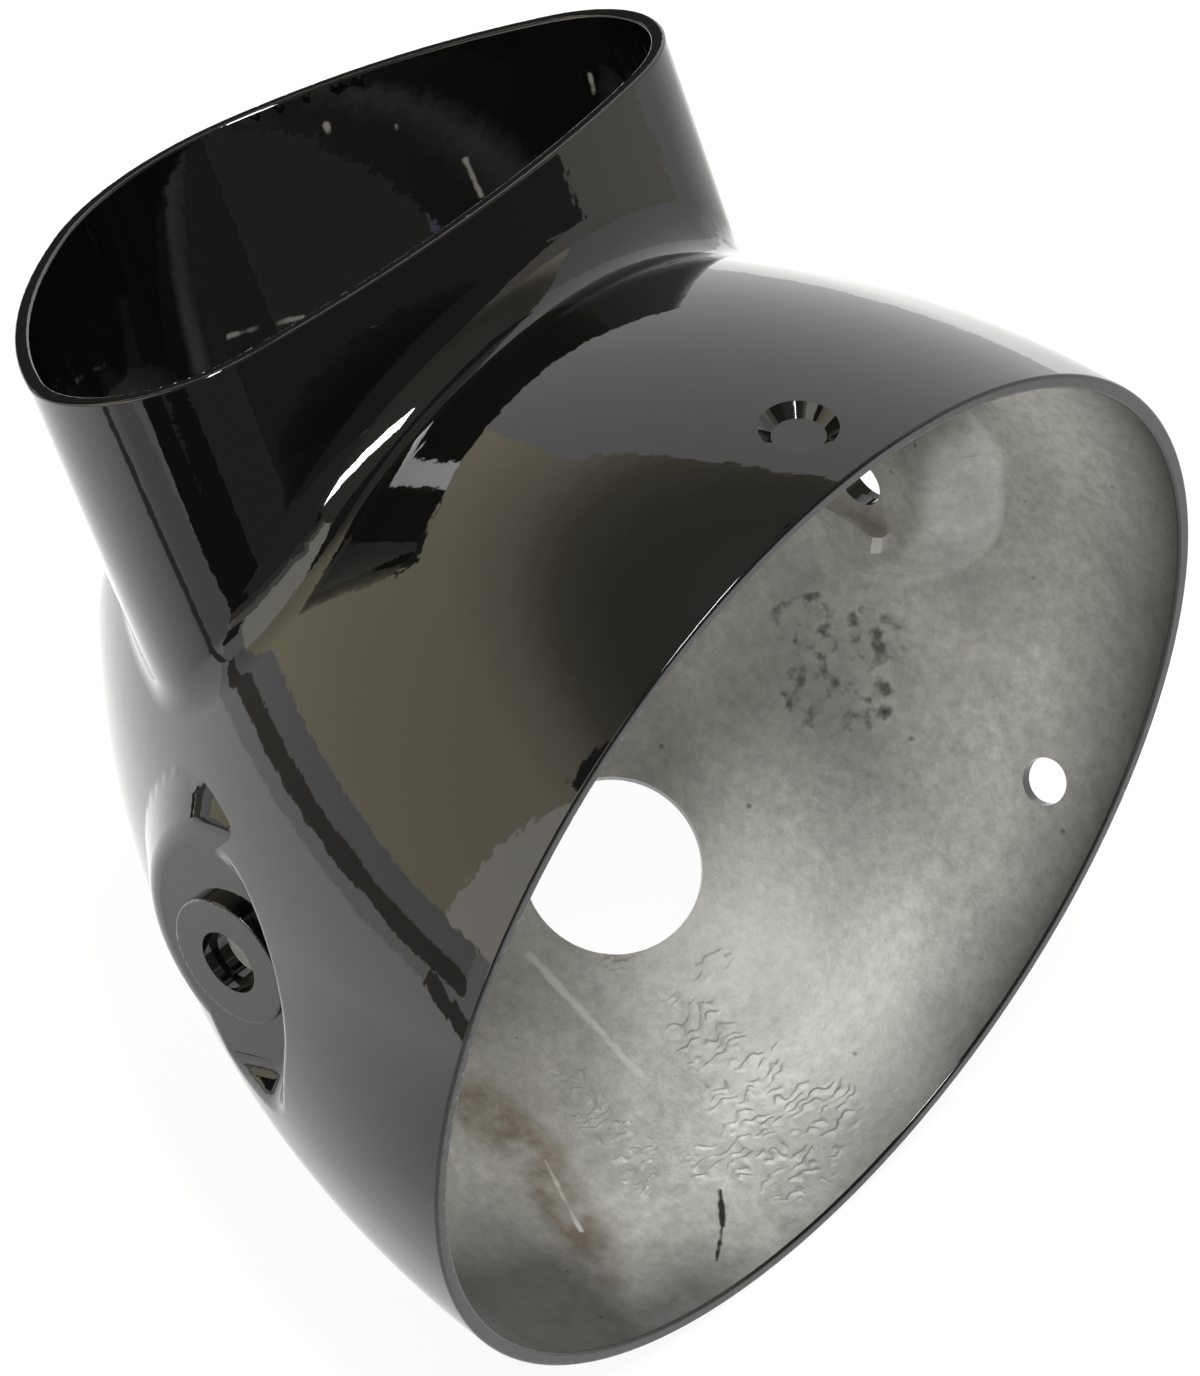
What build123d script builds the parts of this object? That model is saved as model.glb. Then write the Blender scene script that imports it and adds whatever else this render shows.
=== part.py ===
from build123d import *
import math
import os

os.makedirs("parts", exist_ok=True)

# Main sizes of the shell, in mm
rim_radius = 90.0
wall = 2.5
land_edge = 0.5

# Side outline of the bowl: one long arc, then a rounder cap at the back
flank_radius = 180.0
flank_centre_y = -5.3
cap_radius = 58.0

# Cup mouth: front middle point, measured from the back of the bowl and down from the top of
# the rim, then the lean of its plane and the four radii of its outline
mouth_from_back = 55.65
mouth_below_rim = 0.8
mouth_lean = 28.2
front_radius = 200.0
corner_radius = 24.0
side_radius = 98.0
rear_radius = 45.0
front_half_sweep = 13.2
corner_sweep = 107.4

# Cup wall: lean of its axis, draft towards the bowl and how far it reaches down into the bowl
cup_lean = 30.1
cup_draft = 1.25
cup_reach = 70.0
crease_radius = 9.0
inner_crease_radius = 2.5

# Ear seats, one each side, on a common cross axis, with their faces inside the rim radius
ear_y = 55.0
ear_z = -1.5
ear_inset = 12.5
ear_disc_radius = 11.3
ear_disc_height = 2.0
ear_disc_edge = 0.4
bolt_head_radius = 5.5
bolt_head_depth = 2.4
bolt_hole_radius = 4.5

# Pocket round each ear seat: distances back from the rim and away from the seat axis
pocket_front_y = 42.3
pocket_front_lean = 1.0
pocket_short_side = 20.5
pocket_short_corner = 20.0
pocket_long_side = 17.5
pocket_long_corner = 6.0
pocket_long_lean = 26.0
pocket_back_y = 84.0
pocket_draft = 32.0
bulge_draft = 36.0
pocket_reach = 14.0
pocket_floor_radius = 3.0
pocket_ridge_radius = 2.5
inner_ridge_radius = 3.0

# Flat behind each seat, level with the pocket floor and a little proud of the bowl
flat_radius = 21.5
flat_y = 50.0
flat_rise = 3.0
flat_shoulder = 5.0
flat_slope = 42.0
flat_skirt = 14.0

# Bar beside each bolt hole that keeps a 13 mm nut from turning
nut_flats = 13.0
nut_clearance = 0.1
bar_width = 3.6
bar_length = 14.6
bar_height = 3.0
bar_bevel = 1.2

# Dished seat on top near the rim
dish_y = 13.1
dish_radius = 6.4
dish_floor_radius = 4.25
dish_depth = 2.0
dish_pad_radius = 8.5
dish_pad_draft = 30.0

# Cable hole low in the back and small hole beside the rim
cable_hole_radius = 15.0
cable_hole_y = 66.0
cable_hole_turn = -66.6
side_hole_radius = 4.0
side_hole_y = 13.0
side_hole_turn = -29.7
hole_depth = 8.0


def bowl_section(inset):
    """Half section of the bowl, moved inward by inset, as points for two arcs."""
    centre_r = rim_radius - math.sqrt(flank_radius**2 - flank_centre_y**2)
    flank = flank_radius - inset
    cap = cap_radius - inset
    cap_centre_y = flank_centre_y + math.sqrt((flank - cap) ** 2 - centre_r**2)
    turn = math.atan2(-centre_r, cap_centre_y - flank_centre_y)
    start_r = centre_r + math.sqrt(flank**2 - flank_centre_y**2)
    begin = math.atan2(start_r - centre_r, -flank_centre_y)
    middle = (begin + turn) / 2
    return {
        "start": (start_r, 0),
        "flank_mid": (centre_r + flank * math.sin(middle), flank_centre_y + flank * math.cos(middle)),
        "join": (centre_r + flank * math.sin(turn), flank_centre_y + flank * math.cos(turn)),
        "cap_mid": (cap * math.sin(turn / 2), cap_centre_y + cap * math.cos(turn / 2)),
        "end": (0, cap_centre_y + cap),
    }


def surface_point(y, turn):
    """Point on the outside of the bowl and the outward direction there."""
    centre_r = rim_radius - math.sqrt(flank_radius**2 - flank_centre_y**2)
    radius = centre_r + math.sqrt(flank_radius**2 - (y - flank_centre_y) ** 2)
    out_y = (y - flank_centre_y) / flank_radius
    out_r = (radius - centre_r) / flank_radius
    side = Vector(math.cos(math.radians(turn)), 0, math.sin(math.radians(turn)))
    return side * radius + Vector(0, y, 0), side * out_r + Vector(0, out_y, 0)


def hole_plane(y, turn):
    """Plane on the outside of the bowl, looking straight out."""
    place, outward = surface_point(y, turn)
    return Plane(origin=place, x_dir=(0, 0, 1), z_dir=outward)


# Sweep of the side arc that lets the rear arc end square on the middle line
side_centre_x = (front_radius - corner_radius) * math.sin(math.radians(front_half_sweep)) + (
    corner_radius - side_radius
) * math.sin(math.radians(front_half_sweep + corner_sweep))
rear_start = 180 - math.degrees(math.asin(-side_centre_x / (side_radius - rear_radius)))
side_sweep = rear_start - front_half_sweep - corner_sweep
rear_sweep = 180 - rear_start

# Front middle point of the mouth
bowl_back_y = bowl_section(0)["end"][1]
mouth_front_y = bowl_back_y - mouth_from_back
mouth_front_z = rim_radius - mouth_below_rim

mouth_normal = Vector(0, math.sin(math.radians(mouth_lean)), math.cos(math.radians(mouth_lean)))
mouth_place = Vector(0, mouth_front_y, mouth_front_z)
cup_down = Vector(0, -math.sin(math.radians(cup_lean)), -math.cos(math.radians(cup_lean)))
draft_slope = math.tan(math.radians(cup_draft))


def cup_outline(inset):
    """Outline of the cup, four arcs each side, moved inward by inset."""
    with BuildSketch(Plane.XY) as outline:
        with BuildLine():
            front = JernArc((0, inset), (1, 0), front_radius - inset, front_half_sweep)
            corner = JernArc(front @ 1, front % 1, corner_radius - inset, corner_sweep)
            side = JernArc(corner @ 1, corner % 1, side_radius - inset, side_sweep)
            JernArc(side @ 1, side % 1, rear_radius - inset, rear_sweep)
            mirror(about=Plane.YZ)
        make_face()
    return outline.sketch


def cup_plane(down):
    """Plane of the mouth, moved down the cup axis."""
    return Plane(origin=mouth_place + cup_down * down, x_dir=(1, 0, 0), z_dir=mouth_normal)


# Plane the bowl is turned from, so the seam of the turned faces lies underneath
turning_plane = Plane(origin=(0, 0, 0), x_dir=(0, 0, -1), z_dir=(1, 0, 0))

outside = bowl_section(0)
inside = bowl_section(wall)

# Seat planes, one each side: the right one turned half round the bowl axis gives the left one
ear_face_x = rim_radius - ear_inset
seat_floor_x = ear_face_x - ear_disc_height
seat_planes = [
    Plane(origin=(seat_floor_x, 0, ear_z), x_dir=(0, 1, 0), z_dir=(1, 0, 0)),
    Plane(origin=(-seat_floor_x, 0, ear_z), x_dir=(0, 1, 0), z_dir=(-1, 0, 0)),
]

# Outline of the pocket floor, open at the back where the floor runs out of the bowl
front_slope = math.tan(math.radians(pocket_front_lean))
long_slope = math.tan(math.radians(pocket_long_lean))
short_point = (pocket_front_y - pocket_short_side * front_slope, -pocket_short_side)
long_point = (pocket_front_y + pocket_long_side * front_slope, pocket_long_side)
back_rise = (pocket_back_y - long_point[0]) * long_slope
with BuildSketch(Plane.XY) as pocket_outline:
    with BuildLine():
        Polyline(
            (pocket_back_y, -pocket_short_side),
            short_point,
            long_point,
            (pocket_back_y, pocket_long_side + back_rise),
            close=True,
        )
    make_face()
    front_corners = pocket_outline.vertices().sort_by(Axis.X)[0:2].sort_by(Axis.Y)
    fillet(front_corners[0], radius=pocket_short_corner)
    fillet(pocket_outline.vertices().sort_by_distance(long_point)[0], radius=pocket_long_corner)

# What the pockets take from the outside
with BuildPart() as pockets:
    with BuildSketch(*seat_planes):
        add(pocket_outline.sketch)
    extrude(amount=pocket_reach, taper=-pocket_draft)
    for floor_x in (-seat_floor_x, seat_floor_x):
        floor_edges = pockets.edges().filter_by(lambda e: abs(e.center().X - floor_x) < 0.01)
        fillet(floor_edges.sort_by(Axis.Y)[:-1], radius=pocket_floor_radius)

# The same pockets one wall further in, as they bulge into the bowl
corner_growth = wall * (1 - math.sin(math.radians(bulge_draft))) / math.cos(math.radians(bulge_draft))
with BuildPart() as bulges:
    with BuildSketch(*[plane.offset(-wall) for plane in seat_planes]):
        add(pocket_outline.sketch)
        offset(amount=corner_growth, kind=Kind.INTERSECTION)
    extrude(amount=pocket_reach, taper=-bulge_draft)
    for floor_x in (wall - seat_floor_x, seat_floor_x - wall):
        floor_edges = bulges.edges().filter_by(lambda e: abs(e.center().X - floor_x) < 0.01)
        fillet(floor_edges.sort_by(Axis.Y)[:-1], radius=pocket_floor_radius + wall)

# What stays standing in the hollow: the nut bars and the pad behind the dish
bar_top_x = seat_floor_x - wall - bar_height
dish_plane = hole_plane(dish_y, 90)
with BuildPart() as stands:
    with BuildSketch(*[plane.offset(-wall - bar_height) for plane in seat_planes]):
        with Locations((ear_y, -nut_flats / 2 - nut_clearance - bar_width / 2)):
            Rectangle(bar_length, bar_width)
    extrude(amount=bar_height + wall / 2)
    bar_tops = stands.edges().filter_by(lambda e: abs(abs(e.center().X) - bar_top_x) < 0.01)
    chamfer(bar_tops.filter_by(Axis.Z), length=bar_bevel)
    with BuildSketch(dish_plane.offset(-wall - dish_depth)):
        Circle(dish_pad_radius)
    extrude(amount=wall, taper=-dish_pad_draft)

# The hollow: inside of the bowl and of the cup, less the bulges and what stands in it
with BuildPart() as hollow:
    with BuildSketch(turning_plane):
        with BuildLine():
            Polyline((0, inside["end"][1]), (0, -1), (inside["start"][0], -1), inside["start"])
            ThreePointArc(inside["start"], inside["flank_mid"], inside["join"])
            ThreePointArc(inside["join"], inside["cap_mid"], inside["end"])
        make_face()
    revolve(axis=Axis.Y)
    for down in (-1, cup_reach):
        with BuildSketch(cup_plane(down)):
            add(cup_outline(wall + down * draft_slope))
    loft(ruled=True)
    fillet(hollow.edges().filter_by(GeomType.BSPLINE), radius=inner_crease_radius)
    add(bulges.part, mode=Mode.SUBTRACT)
    fillet(hollow.edges(Select.NEW), radius=inner_ridge_radius)
    add(stands.part, mode=Mode.SUBTRACT)

# The shell
with BuildPart() as headlight_bowl:
    with BuildSketch(turning_plane):
        with BuildLine():
            Polyline((0, outside["end"][1]), (0, 0), outside["start"])
            ThreePointArc(outside["start"], outside["flank_mid"], outside["join"])
            ThreePointArc(outside["join"], outside["cap_mid"], outside["end"])
        make_face()
    revolve(axis=Axis.Y)
    for down in (0, cup_reach):
        with BuildSketch(cup_plane(down)):
            add(cup_outline(down * draft_slope))
    loft(ruled=True)
    fillet(headlight_bowl.edges().filter_by(GeomType.BSPLINE), radius=crease_radius)
    add(pockets.part, mode=Mode.SUBTRACT)
    fillet(headlight_bowl.edges(Select.NEW), radius=pocket_ridge_radius)

    # Flats behind the seats, turned about an axis across the bowl
    for side in (1, -1):
        flat_place = Vector(side * seat_floor_x, flat_y, ear_z - side * flat_rise)
        flat_plane = Plane(origin=flat_place, x_dir=(0, 1, 0), z_dir=(0, 0, -side))
        with BuildSketch(flat_plane):
            with BuildLine():
                top = Line((0, 0), (flat_radius, 0))
                shoulder = JernArc(top @ 1, (1, 0), flat_shoulder, -flat_slope)
                skirt = Line(shoulder @ 1, shoulder @ 1 + (shoulder % 1) * flat_skirt)
                Polyline(skirt @ 1, (0, (skirt @ 1).Y), (0, 0))
            make_face()
        revolve(axis=Axis(flat_place, (side, 0, 0)))

    # Raised seat discs
    with BuildSketch(*[plane.offset(ear_disc_height) for plane in seat_planes]):
        with Locations((ear_y, 0)):
            Circle(ear_disc_radius)
    extrude(amount=-ear_disc_height - wall / 2)
    disc_rims = headlight_bowl.edges().filter_by(lambda e: abs(abs(e.center().X) - ear_face_x) < 0.01)
    fillet(disc_rims, radius=ear_disc_edge)

    # Dish on top
    with BuildSketch(dish_plane):
        Circle(dish_radius)
    with BuildSketch(dish_plane.offset(-dish_depth)):
        Circle(dish_floor_radius)
    loft(mode=Mode.SUBTRACT)

    # The hollow leaves one even wall
    add(hollow.part, mode=Mode.SUBTRACT)

    # Stepped bolt holes through the seats
    with BuildSketch(*[plane.offset(ear_disc_height) for plane in seat_planes]):
        with Locations((ear_y, 0)):
            Circle(bolt_head_radius)
    extrude(amount=-bolt_head_depth, mode=Mode.SUBTRACT)
    with BuildSketch(*[plane.offset(ear_disc_height) for plane in seat_planes]):
        with Locations((ear_y, 0)):
            Circle(bolt_hole_radius)
    extrude(amount=-hole_depth, mode=Mode.SUBTRACT)

    # Cable hole and side hole
    with BuildSketch(hole_plane(cable_hole_y, cable_hole_turn)):
        Circle(cable_hole_radius)
    extrude(amount=-hole_depth, mode=Mode.SUBTRACT)
    with BuildSketch(hole_plane(side_hole_y, side_hole_turn)):
        Circle(side_hole_radius)
    extrude(amount=-hole_depth, mode=Mode.SUBTRACT)

    # Rounded edges of the two lands
    rim_edges = headlight_bowl.edges().filter_by(lambda e: abs(e.center().Y) < 0.01)
    mouth_edges = headlight_bowl.edges().filter_by(
        lambda e: abs(cup_plane(0).to_local_coords(e.center()).Z) < 0.01
    )
    fillet(rim_edges + mouth_edges, radius=land_edge)

headlight_bowl.part.label = "headlight_bowl"
export_step(headlight_bowl.part, "parts/headlight_bowl.step")
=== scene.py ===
import math

import bpy
import numpy as np
from mathutils import Matrix, Vector, noise


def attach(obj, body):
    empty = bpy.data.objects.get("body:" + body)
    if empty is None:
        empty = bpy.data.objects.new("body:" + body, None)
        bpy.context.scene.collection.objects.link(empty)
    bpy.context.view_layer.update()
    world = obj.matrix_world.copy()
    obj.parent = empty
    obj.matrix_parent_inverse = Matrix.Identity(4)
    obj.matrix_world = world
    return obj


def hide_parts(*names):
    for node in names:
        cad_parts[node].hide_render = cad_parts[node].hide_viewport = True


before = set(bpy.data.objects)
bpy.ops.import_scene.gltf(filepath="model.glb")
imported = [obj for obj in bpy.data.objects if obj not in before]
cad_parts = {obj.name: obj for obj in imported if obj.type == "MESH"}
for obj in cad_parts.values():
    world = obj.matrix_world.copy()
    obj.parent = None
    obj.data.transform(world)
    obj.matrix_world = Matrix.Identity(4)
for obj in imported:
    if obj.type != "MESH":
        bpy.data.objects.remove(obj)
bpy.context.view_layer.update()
scene = bpy.context.scene
scene.view_settings.view_transform = "Standard"

# ---- True surfaces of the casting, in millimetres, as part.py draws them ----

# The turned bowl: rim radius and wall, then the radius and centre of its flank and the radius of its cap
RIM, WALL = 90.0, 2.5
FLANK, FLANK_Y, CAP = 180.0, -5.3, 58.0
FLANK_R = RIM - math.sqrt(FLANK**2 - FLANK_Y**2)
CAP_Y = FLANK_Y + math.sqrt((FLANK - CAP) ** 2 - FLANK_R**2)
JOIN = math.atan2(-FLANK_R, CAP_Y - FLANK_Y)
CREASE, INNER_CREASE = 9.0, 2.5
FAR_OFF = 99.0

# The cup's mouth: radii of its four arcs and the turn from one to the next
FRONT, CORNER, SIDE, REAR = 200.0, 24.0, 98.0, 45.0
TURN_1 = math.radians(13.2)
TURN_2 = TURN_1 + math.radians(107.4)
CORNER_AT = ((FRONT - CORNER) * math.sin(TURN_1), FRONT - (FRONT - CORNER) * math.cos(TURN_1))
SIDE_AT = (CORNER_AT[0] + (CORNER - SIDE) * math.sin(TURN_2), CORNER_AT[1] - (CORNER - SIDE) * math.cos(TURN_2))
TURN_3 = math.pi - math.asin(-SIDE_AT[0] / (SIDE - REAR))
REAR_AT = (0.0, SIDE_AT[1] - (SIDE - REAR) * math.cos(TURN_3))
# How the mouth and the cup lean, and the cup's draft
MOUTH_LEAN, CUP_LEAN, DRAFT = math.radians(28.2), math.radians(30.1), math.tan(math.radians(1.25))
MOUTH = np.array([0, 79.5, 89.2])
MOUTH_UP = np.array([0, math.sin(MOUTH_LEAN), math.cos(MOUTH_LEAN)])
MOUTH_BACK = np.array([0, math.cos(MOUTH_LEAN), -math.sin(MOUTH_LEAN)])
CUP_DOWN = np.array([0, -math.sin(CUP_LEAN), -math.cos(CUP_LEAN)])


def unit(v):
    return v / np.maximum(np.linalg.norm(v, axis=1), 1e-12)[:, None]


def bowl_wall(p, inset=0.0):
    """Distance from the turned bowl wall and the direction out of it."""
    r = np.hypot(p[:, 0], p[:, 2]) + 1e-9
    y = p[:, 1]
    on_flank = np.arctan2(r - FLANK_R, y - FLANK_Y) > JOIN
    to_flank = np.hypot(r - FLANK_R, y - FLANK_Y)
    to_cap = np.hypot(r, y - CAP_Y) + 1e-9
    distance = np.where(on_flank, to_flank - FLANK, to_cap - CAP) + inset
    out_r = np.where(on_flank, (r - FLANK_R) / to_flank, r / to_cap)
    out_y = np.where(on_flank, (y - FLANK_Y) / to_flank, (y - CAP_Y) / to_cap)
    return distance, np.c_[out_r * p[:, 0] / r, out_y, out_r * p[:, 2] / r]


def cup_wall(p, inset=0.0):
    """Distance from the drafted cup wall and the direction out of it."""
    q = p - MOUTH
    down = (q @ MOUTH_UP) / (CUP_DOWN @ MOUTH_UP)
    q = q - down[:, None] * CUP_DOWN
    x, v = np.abs(q[:, 0]), q @ MOUTH_BACK
    on_rear = (np.arctan2(x - REAR_AT[0], REAR_AT[1] - v) >= TURN_3) | ((x < 1e-9) & (v > REAR_AT[1]))
    on_front = (np.arctan2(x, FRONT - v) <= TURN_1) & ~on_rear
    on_corner = (np.arctan2(x - CORNER_AT[0], CORNER_AT[1] - v) <= TURN_2) & ~on_rear & ~on_front
    on_side = ~(on_rear | on_front | on_corner)
    distance, out_x, out_v = np.zeros(len(p)), np.zeros(len(p)), np.zeros(len(p))
    for here, centre, radius in ((on_front, (0.0, FRONT), FRONT), (on_corner, CORNER_AT, CORNER),
                                 (on_side, SIDE_AT, SIDE), (on_rear, REAR_AT, REAR)):
        dx, dv = x[here] - centre[0], v[here] - centre[1]
        far = np.hypot(dx, dv) + 1e-9
        distance[here], out_x[here], out_v[here] = far - radius, dx / far, dv / far
    side = np.where(q[:, 0] < 0, -1.0, 1.0)
    out = np.outer(out_x * side, (1.0, 0, 0)) + np.outer(out_v, MOUTH_BACK)
    out = unit(out - np.outer(out @ CUP_DOWN, CUP_DOWN))
    return distance + inset + down * DRAFT, unit(out + DRAFT * CUP_DOWN)


def crease_wall(p, inset, radius):
    """Distance from the round in the crease between bowl and cup, and the direction out of it."""
    centre = p.copy()
    for _ in range(6):
        to_bowl, bowl_out = bowl_wall(centre, inset)
        to_cup, cup_out = cup_wall(centre, inset)
        mix = (bowl_out * cup_out).sum(1)
        spread = np.maximum(1 - mix**2, 1e-6)
        a, b = radius - to_bowl, radius - to_cup
        centre += ((a - mix * b) / spread)[:, None] * bowl_out + ((b - mix * a) / spread)[:, None] * cup_out
    arm = centre - p
    length = np.linalg.norm(arm, axis=1) + 1e-9
    inside = (bowl_wall(p, inset)[0] > -0.01) & (cup_wall(p, inset)[0] > -0.01)
    return np.where(inside & (length < 1.3 * radius), radius - length, FAR_OFF), arm / length[:, None]


DISH_OUT_Y = (13.1 - FLANK_Y) / FLANK
DISH_OUT = np.array([0.0, DISH_OUT_Y, math.sqrt(1 - DISH_OUT_Y**2)])
DISH = np.array([0.0, 13.1, FLANK_R + FLANK * DISH_OUT[2]])
DISH_RADIUS, DISH_FLOOR, DISH_DEPTH = 6.4, 4.25, 2.0


def dish_side(p):
    """Distance from the sloping side of the dish on top, and the direction out of the metal."""
    q = p - DISH
    up = q @ DISH_OUT
    across = q - up[:, None] * DISH_OUT
    far = np.linalg.norm(across, axis=1) + 1e-9
    slope = (DISH_RADIUS - DISH_FLOOR) / DISH_DEPTH
    tilt = math.hypot(1, slope)
    distance = (DISH_RADIUS + up * slope - far) / tilt
    beside = (up < 0.3) & (up > -DISH_DEPTH - 0.01)
    return np.where(beside, distance, FAR_OFF), unit(slope * DISH_OUT - across / far[:, None])


WALLS = {
    "dish_side": (dish_side, 1),
    "bowl_outside": (lambda p: bowl_wall(p), 1),
    "cup_outside": (lambda p: cup_wall(p), 1),
    "crease_outside": (lambda p: crease_wall(p, 0.0, CREASE), 1),
    "bowl_inside": (lambda p: bowl_wall(p, WALL), -1),
    "cup_inside": (lambda p: cup_wall(p, WALL), -1),
    "crease_inside": (lambda p: crease_wall(p, WALL, INNER_CREASE), -1),
}


# ---- The casting's skin: the CAD mesh, merged, divided and laid on the true surfaces ----

# A corner is on a wall when it is this near, mm, and its normal this much along the wall's. The dish is coarser.
ON_WALL, ALONG_WALL, ALONG_DISH = 0.004, 0.97, 0.85
# Just inside the 0.5 mm rounds of the two lands
LAND_ROUND = 0.42
# Corners are one where their places agree to this part of a millimetre and their normals to this part of one
CORNER_STEPS, NORMAL_STEPS = 2000, 60


def casting_skin(cad):
    """Corner points, corner normals and walls of the CAD mesh, with shared corners merged."""
    mesh = cad.data
    point = np.zeros(len(mesh.vertices) * 3)
    mesh.vertices.foreach_get("co", point)
    corner = np.zeros(len(mesh.loops), int)
    mesh.loops.foreach_get("vertex_index", corner)
    normal = np.zeros(len(mesh.loops) * 3)
    mesh.corner_normals.foreach_get("vector", normal)
    point = point.reshape(-1, 3)[corner] * 1000
    normal = unit(normal.reshape(-1, 3))
    wall = np.zeros(len(point), int)
    below_mouth = ((point - MOUTH) @ MOUTH_UP) / (CUP_DOWN @ MOUTH_UP)
    off_land = (point[:, 1] > LAND_ROUND) & (below_mouth > LAND_ROUND)
    for bit, (name, (surface, side)) in enumerate(WALLS.items()):
        distance, out = surface(point)
        along = ALONG_DISH if name == "dish_side" else ALONG_WALL
        fits = (np.abs(distance) < ON_WALL) & ((out * normal).sum(1) * side > along) & off_land
        normal[fits] = out[fits] * side
        wall[fits] |= 1 << bit
    key = np.round(np.c_[point * CORNER_STEPS, normal * NORMAL_STEPS]).astype(np.int64)
    _, first, back = np.unique(key, axis=0, return_index=True, return_inverse=True)
    return point[first], normal[first], wall[first], back.reshape(-1, 3)


def divide(point, normal, wall, face, longest):
    """Splits each edge that is longer than longest(middle) says, on a curve that follows the normals."""
    for _ in range(9):
        edge = np.sort(np.vstack([face[:, [0, 1]], face[:, [1, 2]], face[:, [2, 0]]]), axis=1)
        edge, back = np.unique(edge, axis=0, return_inverse=True)
        back = back.reshape(3, -1).T
        a, b = point[edge[:, 0]], point[edge[:, 1]]
        run = b - a
        length = np.linalg.norm(run, axis=1)
        cut = length > longest((a + b) / 2)
        if not cut.any():
            break
        na, nb = normal[edge[cut, 0]], normal[edge[cut, 1]]
        a, b, run, length = a[cut], b[cut], run[cut], length[cut]
        rise = ((run * na).sum(1)[:, None] * na - (run * nb).sum(1)[:, None] * nb) / 8
        middle = (a + b) / 2 - rise
        lean = 2 * (run * (na + nb)).sum(1) / length**2
        out = unit((na + nb) / 2 + unit(na + nb - lean[:, None] * run))
        both = wall[edge[cut, 0]] & wall[edge[cut, 1]]
        for bit, (surface, side) in enumerate(WALLS.values()):
            here = (both >> bit & 1).astype(bool)
            if here.any():
                for _ in range(2):
                    distance, true_out = surface(middle[here])
                    middle[here] -= np.clip(distance, -0.3, 0.3)[:, None] * true_out
                out[here] = surface(middle[here])[1] * side
        new = np.full(len(edge), -1)
        new[cut] = len(point) + np.arange(cut.sum())
        point, normal, wall = np.vstack([point, middle]), np.vstack([normal, out]), np.r_[wall, both]
        m = new[back]
        count = (m >= 0).sum(1)
        parts = [face[count == 0]]
        for turn in range(3):
            f = np.roll(face, -turn, 1)
            n = np.roll(m, -turn, 1)
            one = (count == 1) & (n[:, 0] >= 0)
            parts += [np.c_[f[one, 0], n[one, 0], f[one, 2]], np.c_[n[one, 0], f[one, 1], f[one, 2]]]
            two = (count == 2) & (n[:, 2] < 0)
            parts += [np.c_[n[two, 0], f[two, 1], n[two, 1]], np.c_[f[two, 0], n[two, 0], n[two, 1]],
                      np.c_[f[two, 0], n[two, 1], f[two, 2]]]
        three = count == 3
        f, n = face[three], m[three]
        parts += [n, np.c_[f[:, 0], n[:, 0], n[:, 2]], np.c_[n[:, 0], f[:, 1], n[:, 1]],
                  np.c_[n[:, 2], n[:, 1], f[:, 2]]]
        face = np.vstack(parts)
    return point, normal, wall, face


def skin_piece(name, point, normal, face, material, marks=None):
    """A piece from points in millimetres, with its own corner normals and its corners merged."""
    used, face = np.unique(face, return_inverse=True)
    face = face.reshape(-1, 3)
    point, normal = point[used], normal[used]
    key = np.round(point * CORNER_STEPS).astype(np.int64)
    _, first, merged = np.unique(key, axis=0, return_index=True, return_inverse=True)
    merged = merged.reshape(-1)
    joined = merged[face]
    sound = (joined[:, 0] != joined[:, 1]) & (joined[:, 1] != joined[:, 2]) & (joined[:, 2] != joined[:, 0])
    face, joined = face[sound], joined[sound]
    mesh = bpy.data.meshes.new(name)
    mesh.vertices.add(len(first))
    mesh.vertices.foreach_set("co", (point[first] / 1000).astype(np.float32).ravel())
    mesh.loops.add(joined.size)
    mesh.loops.foreach_set("vertex_index", joined.astype(np.int32).ravel())
    mesh.polygons.add(len(joined))
    mesh.polygons.foreach_set("loop_start", np.arange(0, joined.size, 3, dtype=np.int32))
    mesh.update(calc_edges=True)
    mesh.polygons.foreach_set("use_smooth", np.ones(len(joined), bool))
    mesh.normals_split_custom_set(normal[face.ravel()].astype(np.float32))
    for mark, value in (marks or {}).items():
        layer = mesh.attributes.new(mark, "FLOAT", "POINT")
        layer.data.foreach_set("value", value[used][first].astype(np.float32))
    piece = bpy.data.objects.new(name, mesh)
    scene.collection.objects.link(piece)
    mesh.materials.append(material)
    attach(piece, "root")
    return piece


# ---- Materials ----

def paint_tone(code):
    """A hex sRGB colour as linear RGBA."""
    value = [int(code[i:i + 2], 16) / 255 for i in (1, 3, 5)]
    return tuple(v / 12.92 if v <= 0.04045 else ((v + 0.055) / 1.055) ** 2.4 for v in value) + (1.0,)


def grain_scale(size):
    """The scale of a pattern, in cells to the metre, whose lumps are this many millimetres across."""
    return 1000.0 / size


def new_material(name):
    material = bpy.data.materials.new(name)
    material.use_nodes = True
    material.node_tree.nodes.clear()
    return material


def add_node(tree, kind, links=(), values=None, **settings):
    """Adds a node: links into its sockets, values for numbered sockets, settings of the node or of named sockets."""
    node = tree.nodes.new("ShaderNode" + kind)
    for name, value in settings.items():
        if hasattr(node, name):
            setattr(node, name, value)
        else:
            node.inputs[name.replace("_", " ")].default_value = value
    for socket, value in (values or {}).items():
        node.inputs[socket].default_value = value
    for socket, source in links:
        tree.links.new(source, node.inputs[socket])
    return node


# Sockets of a colour Mix node
MIX, UNDER, OVER, MIXED = 0, 6, 7, 2


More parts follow.
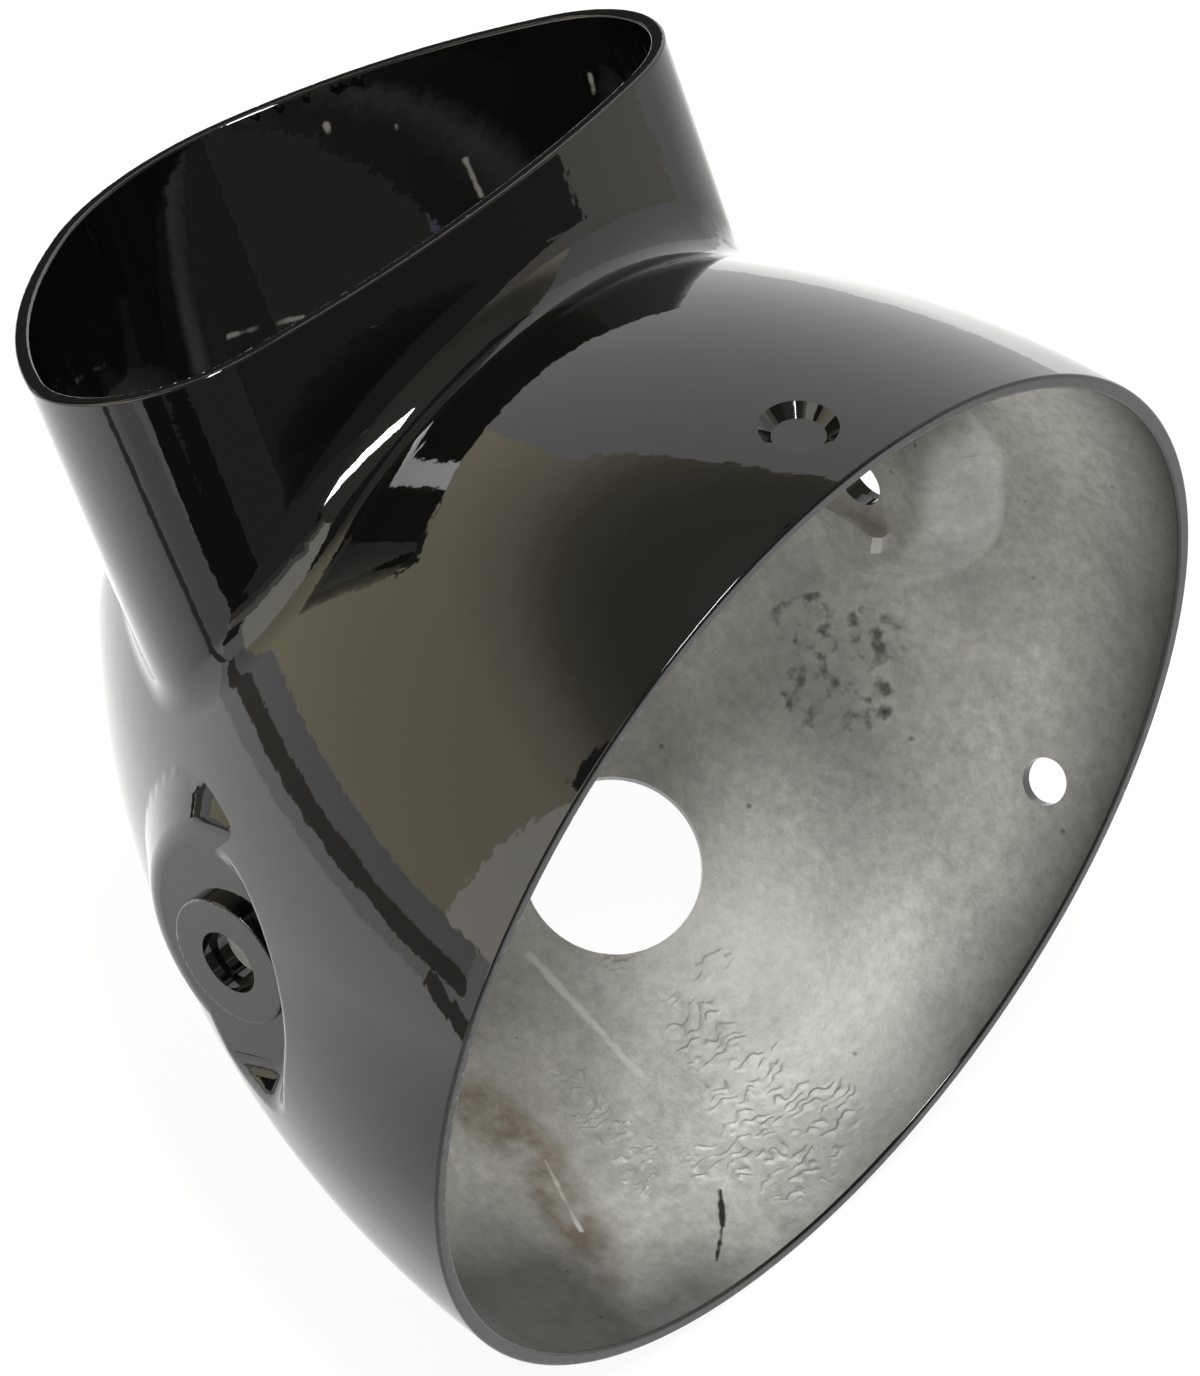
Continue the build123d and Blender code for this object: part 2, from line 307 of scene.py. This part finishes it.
def stroke_mask(tree, place, strokes):
    """One on thin strokes, each a start, an end and a half width in millimetres, with a wavering edge."""
    # A scribed line wavers every few millimetres by a fifth of a millimetre
    waver = add_node(tree, "TexNoise", [("Vector", place)], Scale=grain_scale(3.333), Detail=2.0)
    waver_size = add_node(tree, "MapRange", [("Value", waver.outputs["Fac"])], From_Min=0.35, From_Max=0.65,
                          To_Min=-0.0002, To_Max=0.0002)
    mask = None
    for start, end, half in strokes:
        start, end = Vector(start) / 1000, Vector(end) / 1000
        run = end - start
        offset = add_node(tree, "VectorMath", [(0, place)], {1: start}, operation="SUBTRACT")
        along = add_node(tree, "VectorMath", [(0, offset.outputs["Vector"])], {1: run / run.length_squared},
                         operation="DOT_PRODUCT")
        held = add_node(tree, "Clamp", [("Value", along.outputs["Value"])])
        foot = add_node(tree, "VectorMath", [("Scale", held.outputs[0])], {0: run}, operation="SCALE")
        away = add_node(tree, "VectorMath", [(0, offset.outputs["Vector"]), (1, foot.outputs["Vector"])],
                        operation="DISTANCE")
        far = add_node(tree, "Math", [(0, away.outputs["Value"]), (1, waver_size.outputs["Result"])], operation="ADD")
        line = add_node(tree, "MapRange", [("Value", far.outputs[0])], From_Min=half / 500, From_Max=half / 1500)
        if mask is not None:
            line = add_node(tree, "Math", [(0, mask), (1, line.outputs[0])], operation="MAXIMUM")
        mask = line.outputs[0]
    return mask


def gloss_black_paint():
    """Black enamel, sprayed and stoved: a hard, smooth coat that the eye reads from what it mirrors, with a faint
    orange peel. Scratches inside the cup go through to dull grey metal."""
    material = new_material("gloss_black_paint")
    tree = material.node_tree
    place = add_node(tree, "TexCoord").outputs["Object"]
    scratch = stroke_mask(tree, place, SCRATCHES)
    worn = add_node(tree, "Mix", [(MIX, scratch)], {UNDER: paint_tone("#060606"), OVER: paint_tone("#5e5c57")},
                    data_type="RGBA")
    worn_gloss = add_node(tree, "MapRange", [("Value", scratch)], To_Min=0.03, To_Max=0.5)
    # Orange peel is 1 to 2 mm wide on such enamel, drawn at about 4 mm so that the render shows it
    peel = add_node(tree, "TexNoise", [("Vector", place)], Scale=grain_scale(3.846), Detail=2.0, Roughness=0.5)
    bump = add_node(tree, "Bump", [("Height", peel.outputs["Fac"])], Strength=0.06, Distance=0.0004)
    shader = add_node(tree, "BsdfPrincipled", [("Normal", bump.outputs["Normal"]), ("Base Color", worn.outputs[MIXED]),
                                               ("Roughness", worn_gloss.outputs["Result"])], IOR=1.5)
    add_node(tree, "OutputMaterial", [("Surface", shader.outputs["BSDF"])])
    return material


def bare_cast_aluminium():
    """Aluminium alloy as it left the mould, never machined or polished: a matt grey metal that the eye knows by its
    wide soft shine, its cloudy skin, its pinholes and its grain, with stains, painted shade inside the rim and a black
    cup foot."""
    material = new_material("bare_cast_aluminium")
    tree = material.node_tree
    place = add_node(tree, "TexCoord").outputs["Object"]

    # Clouds where the metal chilled faster or slower, some 45 mm across with finer ones inside them
    cloud = add_node(tree, "TexNoise", [("Vector", place)], Scale=grain_scale(45.45), Detail=7.0, Roughness=0.6,
                     Distortion=0.6)
    tone = add_node(tree, "ValToRGB", [("Fac", cloud.outputs["Fac"])])
    for element, at, code in zip(tone.color_ramp.elements, (0.34, 0.66), ("#bebeba", "#e2e2de")):
        element.position, element.color = at, paint_tone(code)

    # Flecks of the cast skin are under 1 mm, drawn at about 2.4 mm and finer so that the render shows them
    fleck = add_node(tree, "TexNoise", [("Vector", place)], Scale=grain_scale(2.381), Detail=4.0, Roughness=0.75)
    fleck_tone = add_node(tree, "MapRange", [("Value", fleck.outputs["Fac"])], From_Min=0.3, From_Max=0.7, To_Min=0.78,
                          To_Max=1.14)
    mottled = add_node(tree, "VectorMath", [("Vector", tone.outputs["Color"]), ("Scale", fleck_tone.outputs["Result"])],
                       operation="SCALE")

    # Dark blotches about 3 mm across, in the patches marked as blotched
    blotch_noise = add_node(tree, "TexNoise", [("Vector", place)], Scale=grain_scale(3.03), Detail=2.0, Roughness=0.5)
    blotch_zone = add_node(tree, "Attribute", attribute_name="blotched")
    blotch_sum = add_node(tree, "Math", [(0, blotch_noise.outputs["Fac"]), (1, blotch_zone.outputs["Fac"])],
                          operation="ADD")
    blotch = add_node(tree, "MapRange", [("Value", blotch_sum.outputs[0])], From_Min=1.5, From_Max=1.66)
    blotched = add_node(tree, "Mix", [(MIX, blotch.outputs["Result"]), (UNDER, mottled.outputs["Vector"])],
                        {OVER: paint_tone("#84847f")}, data_type="RGBA")

    # A brown water stain with a mottle of about 9 mm
    brown_zone = add_node(tree, "Attribute", attribute_name="browned")
    stain = add_node(tree, "TexNoise", [("Vector", place)], Scale=grain_scale(9.09), Detail=5.0, Roughness=0.6)
    stain_depth = add_node(tree, "MapRange", [("Value", stain.outputs["Fac"])], From_Min=0.38, From_Max=0.62,
                           To_Min=0.1, To_Max=1.0)
    stained = add_node(tree, "Math", [(0, brown_zone.outputs["Fac"]), (1, stain_depth.outputs["Result"])],
                       operation="MULTIPLY")
    browned = add_node(tree, "Mix", [(MIX, stained.outputs[0]), (UNDER, blotched.outputs[MIXED])],
                       {OVER: paint_tone("#c9beae")}, data_type="RGBA", blend_type="MULTIPLY")

    # Painted shade inside the rim with black round the foot of the cup, the crack and the pale drag lines
    rim_shade_foot_zone = add_node(tree, "Attribute", attribute_name="rim_shade_dark_foot")
    under = browned.outputs[MIXED]
    for mask, code in ((rim_shade_foot_zone.outputs["Fac"], "#2a2a29"), (stroke_mask(tree, place, CRACKS), "#3c3b38"),
                       (stroke_mask(tree, place, PALE_LINES), "#e4e4e0")):
        under = add_node(tree, "Mix", [(MIX, mask), (UNDER, under)], {OVER: paint_tone(code)},
                         data_type="RGBA").outputs[MIXED]

    # One pinhole in ten cells of about 4 mm, each about 1 mm wide
    pit = add_node(tree, "TexVoronoi", [("Vector", place)], Scale=grain_scale(3.846))
    pit_mask = add_node(tree, "MapRange", [("Value", pit.outputs["Distance"])], From_Min=0.05, From_Max=0.16)
    pit_pick = add_node(tree, "SeparateColor", [("Color", pit.outputs["Color"])])
    no_pit = add_node(tree, "Math", [(0, pit_pick.outputs["Red"])], {1: 0.9}, operation="LESS_THAN")
    pit_free = add_node(tree, "Math", [(0, pit_mask.outputs["Result"]), (1, no_pit.outputs[0])], operation="MAXIMUM")
    pit_shade = add_node(tree, "MapRange", [("Value", pit_free.outputs[0])], To_Min=0.45)
    pitted = add_node(tree, "VectorMath", [("Vector", under), ("Scale", pit_shade.outputs["Result"])],
                      operation="SCALE")

    # Sand-like grain is 0.2 to 0.5 mm, drawn at about 1.5 mm so that the render shows it, on slow swells of 22 mm
    grain = add_node(tree, "TexNoise", [("Vector", place)], Scale=grain_scale(1.5385), Detail=4.0, Roughness=0.65)
    grain_bump = add_node(tree, "Bump", [("Height", grain.outputs["Fac"])], Strength=0.35, Distance=0.0004)
    swell = add_node(tree, "TexNoise", [("Vector", place)], Scale=grain_scale(22.22), Detail=3.0, Roughness=0.5)
    swell_bump = add_node(tree, "Bump", [("Height", swell.outputs["Fac"]), ("Normal", grain_bump.outputs["Normal"])],
                          Strength=0.5, Distance=0.0012)
    gloss = add_node(tree, "MapRange", [("Value", fleck.outputs["Fac"])], From_Min=0.3, From_Max=0.7, To_Min=0.6,
                     To_Max=0.72)
    shader = add_node(tree, "BsdfPrincipled", [("Base Color", pitted.outputs["Vector"]),
                                               ("Normal", swell_bump.outputs["Normal"]),
                                               ("Roughness", gloss.outputs["Result"])], Metallic=0.9)
    add_node(tree, "OutputMaterial", [("Surface", shader.outputs["BSDF"])])
    return material


# ---- The casting ----

# Patches of wrinkled casting skin in the bowl: two ends of each patch and how far it spreads, mm
WRINKLED = (
    ((20.1, 38.0, -79.5), (19.4, 24.0, -82.7), 5.0),
    ((19.4, 24.0, -82.7), (14.0, 12.0, -85.2), 8.5),
    ((21.0, 19.0, -83.0), (24.8, 12.2, -83.0), 5.0),
    ((9.0, 14.0, -86.0), (3.2, 20.5, -85.4), 3.5),
    ((-3.0, 44.8, -80.2), (-4.3, 30.3, -83.7), 4.0),
    ((-4.3, 30.3, -83.7), (-8.4, 23.3, -84.8), 3.5),
    ((20.1, 45.0, -77.6), (20.6, 44.0, -77.7), 2.2),
    ((28.7, 43.5, -75.3), (31.3, 42.5, -74.7), 2.0),
    ((19.0, 55.5, -74.8), (22.5, 53.5, -74.8), 1.6),
)
# Patches of dark blotches and of brown stain, given in the same way
BLOTCHED = (
    ((67.4, 60.0, -33.0), (72.5, 48.0, -33.0), 8.0),
    ((64.0, 54.0, -44.0), (68.0, 46.0, -42.0), 8.0),
)
BROWNED = (
    ((-20.3, 49.4, -76.1), (-19.0, 39.0, -79.5), 6.0),
    ((-19.0, 39.0, -79.5), (-28.0, 16.0, -81.0), 5.0),
)
WRINKLE_EDGE, BLOTCH_EDGE, STAIN_EDGE = 3.0, 8.0, 6.0

# Thin strokes: start, end and half width, mm. Scratches in the cup's paint, a crack and pale lines in the bare bowl
SCRATCHES = (
    ((31.2, 137.1, 51.0), (35.5, 135.4, 36.0), 0.35),
    ((35.5, 135.4, 36.0), (36.5, 134.0, 24.0), 0.22),
    ((39.4, 129.3, 50.7), (42.0, 127.5, 38.5), 0.25),
    ((45.4, 119.3, 45.6), (45.5, 115.8, 40.2), 0.3),
    ((59.9, 106.5, 62.9), (60.4, 105.0, 58.0), 0.3),
    ((5.8, 133.7, 23.6), (18.2, 128.9, 22.8), 0.3),
)
CRACKS = (
    ((1.2, 15.3, -86.3), (-4.0, 10.3, -86.7), 0.3),
    ((-4.0, 10.3, -86.7), (-10.6, 5.9, -86.5), 0.22),
)
PALE_LINES = (
    ((8.6, 64.6, -72.6), (8.5, 50.8, -77.9), 0.5),
    ((8.5, 50.8, -77.9), (7.7, 38.9, -81.6), 0.4),
    ((-18.1, 36.8, -80.3), (-24.6, 23.3, -81.6), 0.3),
)

# Darkening on the bare metal, painted shade inside the rim and black round the foot of the cup: how black,
# then ramps that bound it as direction, start, reach in mm, and power
RIM_SHADE_AND_DARK_FOOT = (
    (0.88, ((0, -1, 0), -22, 22, 1.3), ((1, 0, -0.2), -16, 80, 1)),  # inside the rim, from the bottom to the right
    (1.0, ((0, 0, 1), 4, 22, 1), ((0, 1, 0), 34, 14, 1)),            # round the foot of the cup
    (0.7, ((0, -1, 0), -20, 16, 1), ((-1, 0, 0), -12, 30, 1)),       # inside the rim, lower left
    (0.8, ((-1, 0, 0), 14, 22, 1), ((0, -1, 0), -42, 22, 1)),        # left side
)


def patch(p, patches, soft):
    """One inside the given patches, falling to nothing over a soft edge."""
    cover = np.zeros(len(p))
    for start, end, reach in patches:
        start, end = np.array(start), np.array(end)
        run = end - start
        along = np.clip((p - start) @ run / (run @ run), 0, 1)
        far = np.linalg.norm(p - start - along[:, None] * run, axis=1)
        cover = np.maximum(cover, np.clip((reach - far) / soft + 0.5, 0, 1))
    return cover * cover * (3 - 2 * cover)


def rim_shade_and_dark_foot(p):
    """How much darkening lies on the bare metal: painted shade inside the rim, and black round the foot of the cup."""
    cover = np.zeros(len(p))
    for black, *ramps in RIM_SHADE_AND_DARK_FOOT:
        for direction, start, reach, power in ramps:
            black = black * np.clip((p @ np.array(direction) - start) / reach, 0, 1) ** power
        cover = np.maximum(cover, black)
    return cover


RIDGE_SPACING, RIDGE_HEIGHT, STEEP_SIDE = 1.7, 0.30, 0.28
ACROSS = Vector((0.97, -0.13, 0.2)).normalized().cross(Vector((0.22, 0.14, -0.965))).normalized()


def wrinkle_height(p):
    """Height of the wrinkled casting skin, mm: short bent ridges in rows, each with one steep side."""
    cover = patch(p, WRINKLED, WRINKLE_EDGE)
    height = np.zeros(len(p))
    for i in np.nonzero(cover > 0.001)[0]:
        q = Vector(p[i])
        row = q.dot(ACROSS) / RIDGE_SPACING + 1.5 * noise.noise(q * 0.23) + 0.7 * noise.noise(q * 0.6)
        step = row - math.floor(row)
        ridge = min(step / (1 - STEEP_SIDE), (1 - step) / STEEP_SIDE)
        patchy = noise.noise(q * 0.34 + Vector((7.3, 3.1, math.floor(row) * 0.9)))
        height[i] = cover[i] * ridge ** 1.5 * RIDGE_HEIGHT * min(1.0, max(0.0, 0.35 + 2.6 * patchy))
    return height


# The right ear's bolt disc is painted: where its inner face is, its centre in Y and Z, and its radius with its edge, mm
EAR_FACE, DISC_CENTRE, DISC_REACH = 73.4, (55.0, -1.5), 11.6
BARE_FROM_RIM = 0.6


def inner_faces(point, face):
    """Which triangles are bare: the bowl's inside with its bulges and bars, up to the foot of the cup."""
    middle = point[face].mean(1)
    facing = unit(np.cross(point[face[:, 1]] - point[face[:, 0]], point[face[:, 2]] - point[face[:, 0]]))
    to_bowl, bowl_out = bowl_wall(middle)
    far_in = np.abs(middle[:, 0]) < EAR_FACE
    from_disc = np.hypot(middle[:, 1] - DISC_CENTRE[0], middle[:, 2] - DISC_CENTRE[1])
    on_disc = (from_disc < DISC_REACH) & ~far_in
    inward = (facing * bowl_out).sum(1) < -0.15
    return (to_bowl < -WALL + 0.4) & (far_in | inward) & ~on_disc & (middle[:, 1] > BARE_FROM_RIM)


def paint_length(middle):
    """Longest edge wanted on the painted skin: short on the two lands, mm."""
    on_land = (middle[:, 1] < 0.7) | (np.abs((middle - MOUTH) @ MOUTH_UP) < 0.7)
    return np.where(on_land, 1.1, 2.6)


def metal_length(middle):
    """Longest edge wanted on the bare skin: short in the wrinkled patches, mm."""
    return np.where(patch(middle, WRINKLED, WRINKLE_EDGE) > 0.01, 0.45, 1.8)


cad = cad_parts["headlight_bowl"]
point, normal, wall, face = casting_skin(cad)
bare = inner_faces(point, face)

paint_point, paint_normal, _, paint_face = divide(point, normal, wall, face[~bare], paint_length)
painted_skin = skin_piece("painted_skin", paint_point, paint_normal, paint_face, gloss_black_paint())

# The wrinkles are lifted off the bare skin, and its normals are leant by the slopes found this far along it, mm
PROBE = 0.15
point, normal, _, face = divide(point, normal, wall, face[bare], metal_length)
side_a = unit(np.cross(normal, (0.3, 0.2, 0.93)))
side_b = np.cross(normal, side_a)
height = wrinkle_height(point)
touched = patch(point, WRINKLED, WRINKLE_EDGE) > 0.001
lean = np.zeros((len(point), 2))
for i, side in enumerate((side_a, side_b)):
    lean[touched, i] = (wrinkle_height(point[touched] + side[touched] * PROBE) - height[touched]) / PROBE
# The darkening mark holds painted shade inside the rim and the black round the foot of the cup
marks = {"blotched": patch(point, BLOTCHED, BLOTCH_EDGE), "browned": patch(point, BROWNED, STAIN_EDGE),
         "rim_shade_dark_foot": rim_shade_and_dark_foot(point)}
bare_inside = skin_piece("bare_inside", point + normal * height[:, None],
                         unit(normal - side_a * lean[:, :1] - side_b * lean[:, 1:]), face, bare_cast_aluminium(), marks)
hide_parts("headlight_bowl")
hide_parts("headlight_bowl")


# ---- Studio: pale surroundings, a long soft lamp overhead, dark and pale cards ----

def glowing(name, tone, strength):
    """A plain even glow, which is what a lit card looks like in the paint."""
    material = new_material(name)
    glow = add_node(material.node_tree, "Emission", Color=paint_tone(tone), Strength=strength)
    add_node(material.node_tree, "OutputMaterial", [("Surface", glow.outputs["Emission"])])
    return material


def heading(bearing, height):
    """The direction at a bearing and a height in degrees, from the front and from level."""
    a, e = math.radians(bearing), math.radians(height)
    return Vector((math.sin(a) * math.cos(e), -math.cos(a) * math.cos(e), math.sin(e)))


def card(name, outline, tone, strength, far=5.0):
    """A card hung round the object, its corners given by bearing, height in degrees and, if near, distance, m."""
    corners = []
    outline = [(*corner, far)[:3] for corner in outline]
    for (a0, e0, d0), (a1, e1, d1) in zip(outline, outline[1:] + outline[:1]):
        steps = max(1, int(max(abs(a1 - a0), abs(e1 - e0)) / 5))
        for t in (i / steps for i in range(steps)):
            corners.append(heading(a0 + (a1 - a0) * t, e0 + (e1 - e0) * t) * (d0 + (d1 - d0) * t))
    mesh = bpy.data.meshes.new(name)
    mesh.from_pydata(corners, [], [list(range(len(corners)))])
    mesh.materials.append(glowing(name, tone, strength))
    piece = bpy.data.objects.new(name, mesh)
    scene.collection.objects.link(piece)
    piece.visible_camera = False


WHITE, WARM = "#ffffff", "#fffaeb"

# Behind and to the right
card("dark_behind", [(131, -26), (134, -5), (140, 8), (150, 19), (162, 24), (180, 27), (194, 26), (197, 20),
                     (198, -26)], WHITE, 0.07)
card("white_right", [(57, -26), (57, 24), (66, 34), (80, 42), (95, 46), (105, 47), (105, -26)], WHITE, 1.05, 5.2)
card("brighter_right", [(105, -26), (105, 47), (120, 48), (142, 47), (152, 44), (160, 40), (167, 37), (167, 20),
                        (150, 12), (138, 0), (131, -26)], WHITE, 1.4, 5.2)
card("dark_ring", [(122, 45), (140, 53.5), (165, 61.5), (180, 63.5), (195, 62.5), (212, 57), (226, 46.5), (233, 33),
                   (240, 38), (247, 50), (252, 61), (240, 66), (210, 69), (180, 70), (150, 68), (125, 60)], WARM,
     0.10, 4.8)

# In front
card("dark_front", [(-3, -12), (-3, 54), (20, 55), (36, 51), (43, 40), (46, 12), (47, -12)], WARM, 0.16)
card("warm_strip", [(47, -12), (44, 14), (42, 42), (52, 44), (57, 26), (58, -12)], WARM, 0.92)
card("grey_front_low", [(-3, -12), (-3, 13), (24, 13), (27, -12)], WARM, 0.34, 4.9)
card("warm_strip_low", [(36, 4), (36, 15), (47, 15), (47, 4)], WARM, 0.75, 4.9)
card("grey_front", [(-37, -12), (-37, 54), (-10, 56), (-3, 54), (-3, -12)], WARM, 0.27)
card("bright_strip", [(-6.5, 24), (-5, 54), (-3, 54), (-3, 24)], WARM, 0.8, 4.9)

# To the left
card("dark_side_low", [(-68, -14), (-66, 1), (-38, 1), (-38, -14)], WARM, 0.05, 4.85)
card("dark_post", [(-65, 8), (-64, 58), (-52, 58), (-51, 8)], WARM, 0.06, 4.9)
card("dark_post_2", [(-35, 8), (-34, 50), (-32, 50), (-31, 8)], WARM, 0.12, 4.9)
card("grey_side", [(-76, -12), (-76, 58), (-66, 60), (-66, -12)], WARM, 0.45)
card("grey_side_dim", [(-66, -12), (-66, 60), (-50, 59), (-37, 58), (-37, -12)], WARM, 0.27)
card("panel_edge", [(-86, -8), (-86, 58), (-76, 58), (-76, -8)], WARM, 1.1)
card("left_panel", [(-125, 0), (-125, 30), (-116, 48), (-104, 58), (-86, 58), (-86, 0)], WARM, 2.9, 4.95)
card("dark_ball", [(-97, -3), (-88, -1), (-84, -5), (-84, -14), (-92, -18), (-98, -12)], WARM, 0.12, 4.8)
card("blue_spot", [(-56, 3), (-57, 12), (-50, 14), (-44, 12), (-43, 3)], "#dbe4ff", 1.0, 4.8)

# The line where the pale surroundings meet the floor, far off and close by
card("horizon_gap", [(-200, -9), (-200, -5), (-150, -5), (-120, -5), (-120, -9), (-150, -9)], WARM, 0.35, 4.0)
card("horizon_gap_near", [(-121, -5, 0.6), (-105, -11, 0.36), (-94, -16, 0.28), (-94, -19.5, 0.26),
                          (-105, -14.5, 0.34), (-121, -8.5, 0.58)], WARM, 0.35)
card("horizon_strip", [(-200, -5), (-200, 0.5), (-120, 0.5), (-120, -5)], WHITE, 1.1, 4.0)

FLOOR_RADIUS, FLOOR_HEIGHT = 0.62, -0.0903


def pale_floor():
    """Pale floor under the bowl: mostly its own even brightness, so that the soft shadow stays faint. Glossy rays see
    it
    glow brighter towards the back: a painted glow, which the paint mirrors as a pool of light."""
    mesh = bpy.data.meshes.new("pale_floor")
    turns = [math.radians(6 * i) for i in range(60)]
    corners = [(FLOOR_RADIUS * math.cos(a), FLOOR_RADIUS * math.sin(a), FLOOR_HEIGHT) for a in turns]
    mesh.from_pydata(corners, [], [list(range(len(corners)))])
    material = new_material("pale_floor")
    tree = material.node_tree
    matt = add_node(tree, "BsdfDiffuse", Color=(0.14, 0.14, 0.14, 1))
    place = add_node(tree, "TexCoord")
    toward = add_node(tree, "VectorMath", [(0, place.outputs["Object"])], {1: (-0.1, 0.995, 0.0)},
                      operation="DOT_PRODUCT")
    # Painted glow: the floor's emission for glossy rays rises towards the back
    painted_glow = add_node(tree, "MapRange", [("Value", toward.outputs["Value"])], From_Min=0.08, From_Max=0.2, To_Min=0.85,
                     To_Max=1.8)
    rays = add_node(tree, "LightPath")
    level = add_node(tree, "MapRange", [("Value", rays.outputs["Is Glossy Ray"]), ("To Max", painted_glow.outputs["Result"])],
                     To_Min=0.9)
    glow = add_node(tree, "Emission", [("Strength", level.outputs["Result"])], Color=(1, 1, 1, 1))
    both = add_node(tree, "AddShader", [(0, matt.outputs[0]), (1, glow.outputs[0])])
    add_node(tree, "OutputMaterial", [("Surface", both.outputs[0])])
    mesh.materials.append(material)
    floor = bpy.data.objects.new("pale_floor", mesh)
    scene.collection.objects.link(floor)


pale_floor()

# A long soft lamp, its length lying towards a bearing of -30 degrees
LAMP_AWAY = 5.0
lamp_data = bpy.data.lights.new("overhead_lamp", "AREA")
lamp_data.shape, lamp_data.size, lamp_data.size_y, lamp_data.energy = "RECTANGLE", 3.2, 0.6, 300.0
lamp = bpy.data.objects.new("overhead_lamp", lamp_data)
scene.collection.objects.link(lamp)
to_lamp = heading(-50, 77)
along = heading(-30, 0)
along = (along - along.dot(to_lamp) * to_lamp).normalized()
lamp_turn = Matrix((along, to_lamp.cross(along), to_lamp)).transposed()
lamp.matrix_world = Matrix.Translation(to_lamp * LAMP_AWAY) @ lamp_turn.to_4x4()

# Tone of the surroundings from straight down to straight up
SKY = ((0.0, "#e2e2e2"), (0.49, "#e2e2e2"), (0.505, "#f6edcb"), (0.74, "#f4ebcb"), (0.80, "#d4ccb4"), (0.84, "#98937f"),
       (0.88, "#78766a"), (0.91, "#74736a"), (0.95, "#827f76"), (1.0, "#827f76"))
world = bpy.data.worlds.new("studio")
scene.world = world
world.use_nodes = True
tree = world.node_tree
tree.nodes.clear()
look = add_node(tree, "TexCoord")
parts = add_node(tree, "SeparateXYZ", [("Vector", look.outputs["Generated"])])
lift = add_node(tree, "MapRange", [("Value", parts.outputs["Z"])], From_Min=-1.0, From_Max=1.0)
sky = add_node(tree, "ValToRGB", [("Fac", lift.outputs["Result"])])
while len(sky.color_ramp.elements) < len(SKY):
    sky.color_ramp.elements.new(0.5)
for element, (at, tone) in zip(sky.color_ramp.elements, SKY):
    element.position, element.color = at, paint_tone(tone)
rays = add_node(tree, "LightPath")
studio = add_node(tree, "Background", [("Color", sky.outputs["Color"])], Strength=2.0)
white = add_node(tree, "Background", Color=(1, 1, 1, 1), Strength=1.0)
choice = add_node(tree, "MixShader", [("Fac", rays.outputs["Is Camera Ray"]), (1, studio.outputs["Background"]),
                                      (2, white.outputs["Background"])])
add_node(tree, "OutputWorld", [("Surface", choice.outputs["Shader"])])

# ---- Camera ----

FOCAL_PIXELS, PICTURE_HEIGHT, SENSOR = 10000, 1376, 36.0
RIGHT, DOWN, AHEAD = (0.6628, -0.7469, 0.0534), (-0.5065, -0.4997, -0.7027), (0.5516, 0.4387, -0.7095)
camera_data = bpy.data.cameras.new("camera")
camera_data.sensor_width = SENSOR
camera_data.lens = SENSOR * FOCAL_PIXELS / PICTURE_HEIGHT
camera_data.clip_end = 20.0
camera = bpy.data.objects.new("camera", camera_data)
scene.collection.objects.link(camera)
camera_turn = Matrix((RIGHT, -Vector(DOWN), -Vector(AHEAD))).transposed()
camera.matrix_world = Matrix.Translation((-0.8716, -0.6458, 1.1297)) @ camera_turn.to_4x4()
scene.camera = camera
